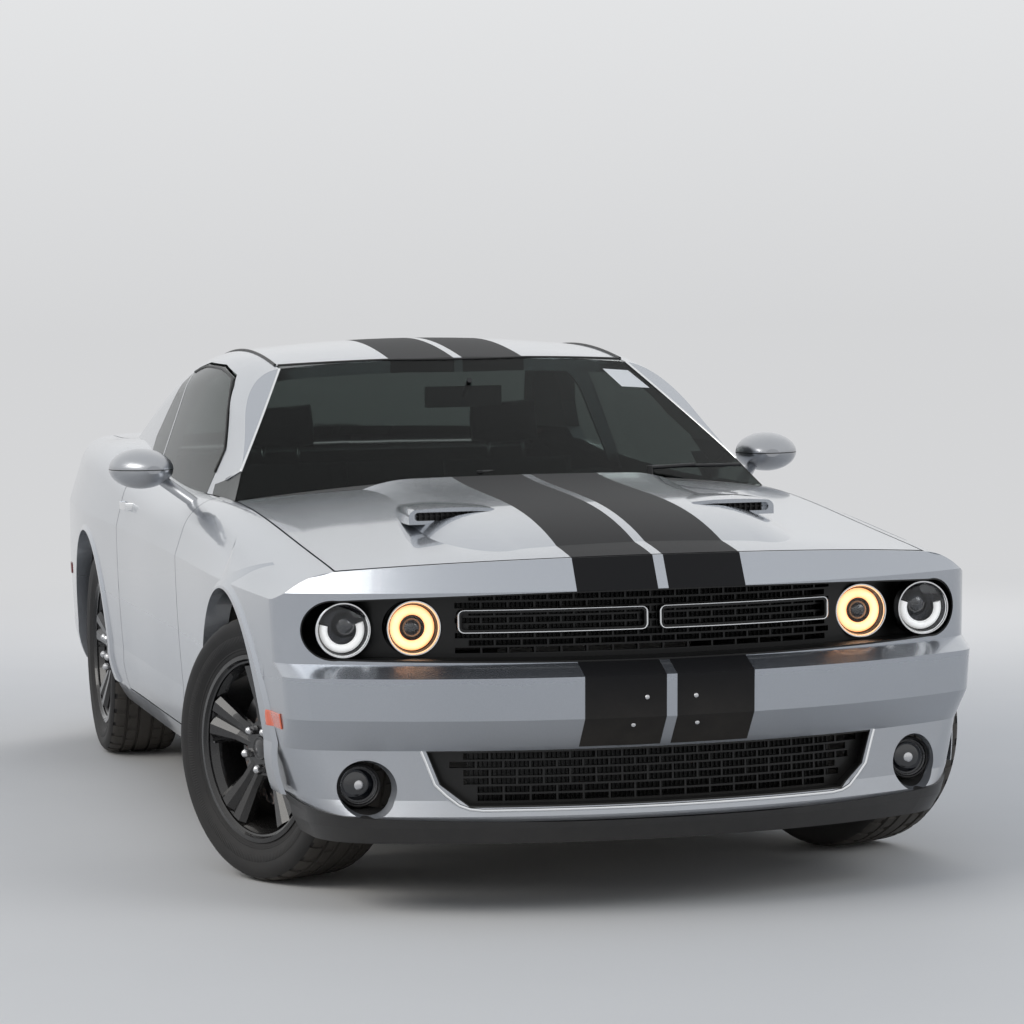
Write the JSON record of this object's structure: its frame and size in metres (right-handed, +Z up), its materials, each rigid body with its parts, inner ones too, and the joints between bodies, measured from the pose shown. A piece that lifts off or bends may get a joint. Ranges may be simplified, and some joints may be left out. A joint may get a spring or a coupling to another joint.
{
  "type": "two-door muscle car",
  "caption": "Two-door muscle car coupe with opening doors, hood and decklid, steered front wheels, twin stripes and a fully modelled cabin.",
  "frame": {"origin": "on the ground, midway between the bumpers' ends and midway across", "axes": "+X forward, +Y to the car's left, +Z up"},
  "size_m": [5.0268, 2.1902, 1.4517],
  "materials": {
    "body_paint": "silver metallic",
    "black_paint": "satin black",
    "black_plastic": "matte",
    "gloss_black": "gloss",
    "clear_lamp": "clear",
    "red_lamp": "clear red",
    "tinted_glass": "tinted",
    "tyre": "matte",
    "wheel_black": "satin black",
    "disc_steel": "machined",
    "chassis_steel": "matte",
    "cast_metal": "raw",
    "pipe_steel": "satin",
    "seat_cloth": "woven black",
    "trim_plastic": "grained",
    "mirror_paint": "grey metallic"
  },
  "bodies": {
    "chassis": {"underbody": "chassis_steel", "trunk_tub": "chassis_steel", "engine": "cast_metal", "exhaust": "pipe_steel", "front_fascia": "body_paint", "grilles": "gloss_black", "front_lamps": "clear_lamp", "chin_spoiler": "black_plastic", "cowl": "black_plastic", "roof": "body_paint", "rear_deck": "body_paint", "rear_fascia": "body_paint", "fixed_glass": "tinted_glass", "tail_lamps": "red_lamp", "wheel_liners": "black_plastic", "wipers": "black_plastic", "cabin_mirror": "black_plastic", "rear_suspension": "chassis_steel", "front_suspension": "chassis_steel", "dashboard": "trim_plastic", "front_seats": "seat_cloth", "rear_seat": "seat_cloth", "fender_left": "body_paint", "fender_right": "body_paint", "side_left": "body_paint", "side_right": "body_paint"},
    "hood": {"hood": "body_paint", "scoop_vents": "gloss_black"},
    "decklid": {"decklid": "body_paint"},
    "steering": {"steering_wheel": "trim_plastic"},
    "door_left": {"door_left": "body_paint", "door_glass_left": "tinted_glass", "mirror_left": "mirror_paint"},
    "knuckle_left": {"knuckle_left": "cast_metal"},
    "door_right": {"door_right": "body_paint", "door_glass_right": "tinted_glass", "mirror_right": "mirror_paint"},
    "knuckle_right": {"knuckle_right": "cast_metal"},
    "wheel_front_left": {"tyre_front_left": "tyre", "rim_front_left": "wheel_black", "disc_front_left": "disc_steel"},
    "wheel_front_right": {"tyre_front_right": "tyre", "rim_front_right": "wheel_black", "disc_front_right": "disc_steel"},
    "wheel_rear_left": {"tyre_rear_left": "tyre", "rim_rear_left": "wheel_black", "disc_rear_left": "disc_steel"},
    "wheel_rear_right": {"tyre_rear_right": "tyre", "rim_rear_right": "wheel_black", "disc_rear_right": "disc_steel"}
  },
  "joints": [
    {"name": "hood_hinge", "type": "hinge", "parent": "chassis", "child": "hood", "pos_m": [0.8, 0, 1.07], "axis": [0, -1, 0], "range_deg": [0, 55]},
    {"name": "decklid_hinge", "type": "hinge", "parent": "chassis", "child": "decklid", "pos_m": [-1.56, 0, 1.06], "axis": [0, 1, 0], "range_deg": [0, 75]},
    {"name": "door_left_hinge", "type": "hinge", "parent": "chassis", "child": "door_left", "pos_m": [0.592, 0.957, 0.65], "axis": [0, 0, -1], "range_deg": [0, 65]},
    {"name": "door_right_hinge", "type": "hinge", "parent": "chassis", "child": "door_right", "pos_m": [0.592, -0.957, 0.65], "axis": [0, 0, 1], "range_deg": [0, 65]},
    {"name": "steer_left", "type": "hinge", "parent": "chassis", "child": "knuckle_left", "pos_m": [1.5285, 0.76, 0.36], "axis": [0, 0, 1], "range_deg": [-59.5, 10.5]},
    {"name": "steer_right", "type": "hinge", "parent": "chassis", "child": "knuckle_right", "pos_m": [1.5285, -0.76, 0.36], "axis": [0, 0, 1], "range_deg": [-59.5, 10.5]},
    {"name": "wheel_front_left_spin", "type": "hinge", "parent": "knuckle_left", "child": "wheel_front_left", "pos_m": [1.50984, 0.80095, 0.36], "axis": [-0.4147, 0.91, 0], "continuous": true},
    {"name": "wheel_rear_left_spin", "type": "hinge", "parent": "chassis", "child": "wheel_rear_left", "pos_m": [-1.4215, 0.805, 0.36], "axis": [0, 1, 0], "continuous": true},
    {"name": "wheel_front_right_spin", "type": "hinge", "parent": "knuckle_right", "child": "wheel_front_right", "pos_m": [1.54716, -0.80095, 0.36], "axis": [-0.4147, 0.91, 0], "continuous": true},
    {"name": "wheel_rear_right_spin", "type": "hinge", "parent": "chassis", "child": "wheel_rear_right", "pos_m": [-1.4215, -0.805, 0.36], "axis": [0, 1, 0], "continuous": true},
    {"name": "steering_wheel_turn", "type": "hinge", "parent": "chassis", "child": "steering", "pos_m": [0.33, 0.39, 0.86], "axis": [-0.9135, 0, 0.4067], "range_deg": [-900, 200]}
  ],
  "couplings": [
    {"joint": "steer_right", "follows": "steer_left", "ratio": 1},
    {"joint": "steering_wheel_turn", "follows": "steer_left", "ratio": 15}
  ]
}
